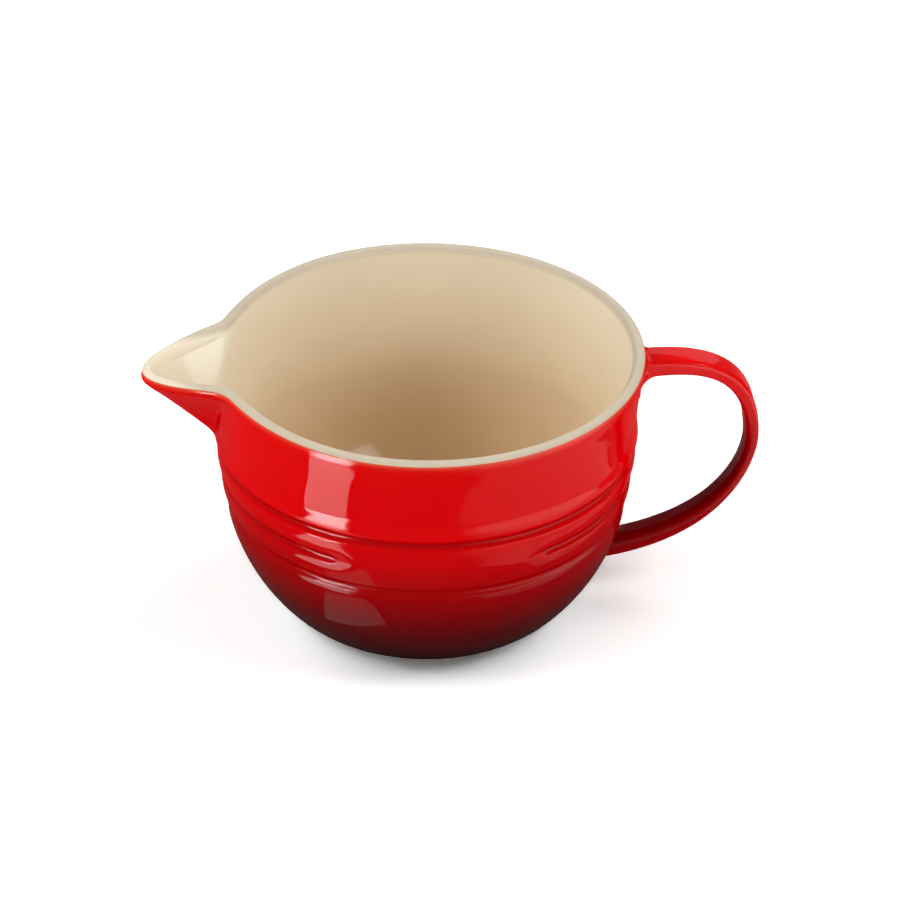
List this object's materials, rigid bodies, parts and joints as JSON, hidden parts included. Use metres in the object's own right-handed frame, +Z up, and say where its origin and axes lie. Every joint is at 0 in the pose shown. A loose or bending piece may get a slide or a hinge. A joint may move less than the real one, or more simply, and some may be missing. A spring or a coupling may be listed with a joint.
{
  "type": "batter bowl",
  "caption": "Round glazed stoneware mixing bowl with a V-shaped pouring spout on one side and a strap handle opposite, standing on a foot ring.",
  "frame": {"origin": "where the bowl's axis meets the table, in the middle of the foot ring", "axes": "+Z up along the bowl's axis, +X towards the handle, -X towards the spout, -Y towards the plain band that interrupts the middle groove"},
  "size_m": [0.2698, 0.19, 0.1272],
  "materials": {
    "clay": "fired, unglazed",
    "red_glaze": "glossy red glaze, near black at the foot",
    "cream_glaze": "glossy cream glaze"
  },
  "bodies": {
    "root": {"bowl_body": "clay", "spout": "clay", "spout_slip": "clay", "handle": "clay", "handle_slip": "clay", "outer_glaze": "red_glaze", "spout_glaze": "red_glaze", "handle_glaze": "red_glaze", "inner_glaze": "cream_glaze", "spout_lining": "cream_glaze", "base_glaze": "cream_glaze"}
  },
  "joints": []
}
